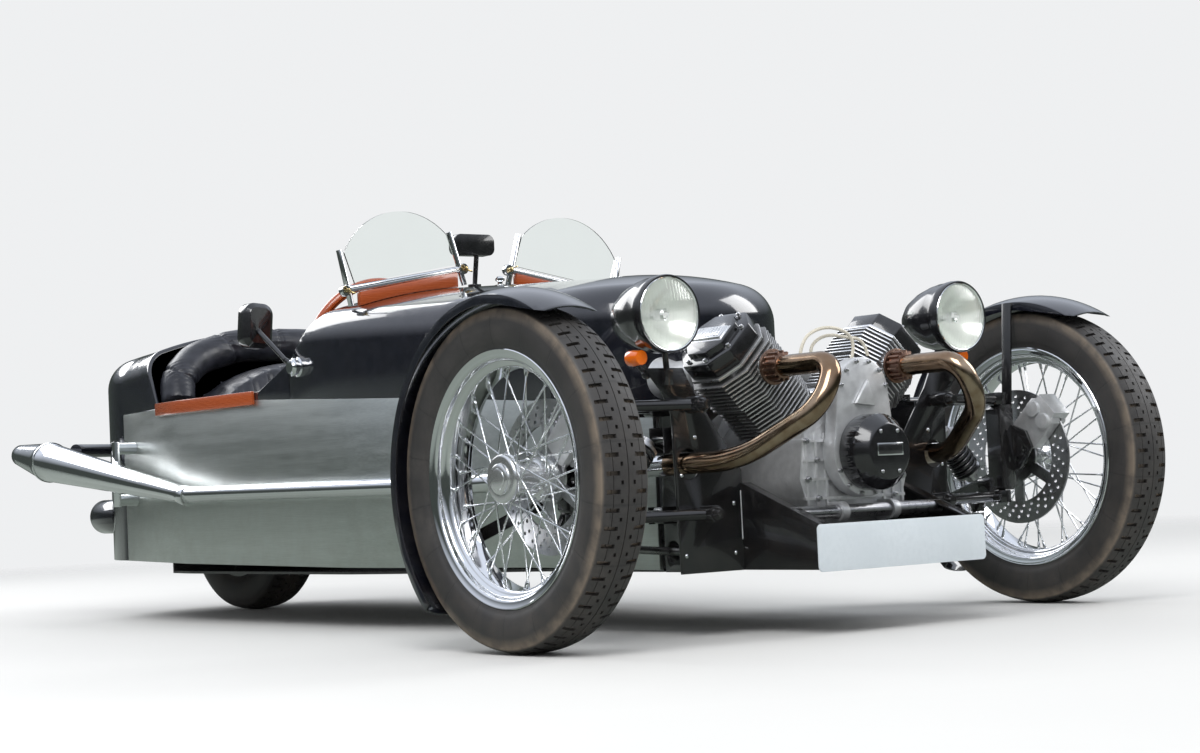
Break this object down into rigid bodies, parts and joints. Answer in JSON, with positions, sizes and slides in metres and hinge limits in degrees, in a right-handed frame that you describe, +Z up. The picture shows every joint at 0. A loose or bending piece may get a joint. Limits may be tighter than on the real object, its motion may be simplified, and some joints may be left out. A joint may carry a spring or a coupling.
{
  "type": "three-wheeled cyclecar",
  "caption": "Open two-seat three-wheeler with an exposed finned V-twin, spoked steering wheels under cycle mudguards, metal sides, aero screens and a round tail.",
  "frame": {"origin": "on the floor under the middle of the vehicle's box", "axes": "+X to the vehicle's left, +Y to its rear, +Z up; it faces -Y"},
  "size_m": [1.568, 3.1349, 0.983],
  "materials": {
    "aluminium_panel": "brushed",
    "black_paint": "gloss",
    "frame_black": "satin",
    "engine_aluminium": "cast",
    "engine_black": "satin",
    "chrome": "polished",
    "steel": "machined",
    "tyre": "matt",
    "leather": "satin",
    "wood": "varnished",
    "glass": "clear",
    "lamp_glass": "fluted",
    "amber": "gloss",
    "red": "gloss",
    "plate": "satin"
  },
  "bodies": {
    "chassis": {"bonnet": "black_paint", "scuttle": "black_paint", "tail_shell": "black_paint", "side_panel_left": "aluminium_panel", "side_panel_right": "aluminium_panel", "floor_pan": "frame_black", "seat": "leather", "coaming_pad": "leather", "wood_trims": "wood", "dashboard": "wood", "front_frame": "frame_black", "rear_arm": "frame_black", "upper_wishbones": "frame_black", "lower_wishbones": "frame_black", "coil_overs": "frame_black", "rack_housing": "engine_aluminium", "crankcase": "engine_aluminium", "timing_cover": "engine_aluminium", "alternator_cover": "engine_black", "cylinder_left": "engine_aluminium", "cylinder_right": "engine_aluminium", "rocker_covers": "engine_black", "gearbox": "engine_aluminium", "carburettors": "engine_aluminium", "exhaust_left": "chrome", "exhaust_right": "chrome", "screen_frames": "chrome", "screen_glass": "glass", "mirrors": "engine_black", "headlamp_shells": "black_paint", "headlamp_lenses": "lamp_glass", "indicators": "amber", "number_plate": "plate", "tail_lamps": "red", "rear_bumper": "black_paint"},
    "steering_wheel": {"steering_wheel": "wood"},
    "rack": {"rack_bar": "steel"},
    "rear_wheel": {"tyre_rear": "tyre", "wheel_rear": "steel"},
    "upright_left": {"upright_left": "frame_black", "caliper_left": "steel", "mudguard_left": "black_paint"},
    "front_wheel_left": {"tyre_front_left": "tyre", "wheel_front_left": "chrome", "brake_disc_left": "steel"},
    "upright_right": {"upright_right": "frame_black", "caliper_right": "steel", "mudguard_right": "black_paint"},
    "front_wheel_right": {"tyre_front_right": "tyre", "wheel_front_right": "chrome", "brake_disc_right": "steel"}
  },
  "joints": [
    {"name": "steer_right", "type": "hinge", "parent": "chassis", "child": "upright_right", "pos_m": [-0.59, -1.238, 0.35], "axis": [0, 0, 1], "range_deg": [-22, 22]},
    {"name": "steer_left", "type": "hinge", "parent": "chassis", "child": "upright_left", "pos_m": [0.59, -1.238, 0.35], "axis": [0, 0, 1], "range_deg": [-22, 22]},
    {"name": "rack_slide", "type": "slide", "parent": "chassis", "child": "rack", "axis": [-1, 0, 0], "range_m": [-0.0269, 0.0269]},
    {"name": "steering_wheel_turn", "type": "hinge", "parent": "chassis", "child": "steering_wheel", "pos_m": [-0.215, 0.084, 0.672], "axis": [0, 0.9272, 0.3746], "range_deg": [-222, 222]},
    {"name": "roll_front_right", "type": "hinge", "parent": "upright_right", "child": "front_wheel_right", "pos_m": [-0.712, -1.238, 0.328], "axis": [1, 0, 0], "continuous": true},
    {"name": "roll_front_left", "type": "hinge", "parent": "upright_left", "child": "front_wheel_left", "pos_m": [0.712, -1.238, 0.328], "axis": [1, 0, 0], "continuous": true},
    {"name": "roll_rear", "type": "hinge", "parent": "chassis", "child": "rear_wheel", "pos_m": [0, 1.092, 0.3], "axis": [1, 0, 0], "continuous": true}
  ],
  "couplings": [
    {"joint": "steer_left", "follows": "steer_right", "ratio": 1},
    {"joint": "rack_slide", "follows": "steer_right", "m_per_rad": 0.07},
    {"joint": "steering_wheel_turn", "follows": "steer_right", "ratio": 10}
  ]
}
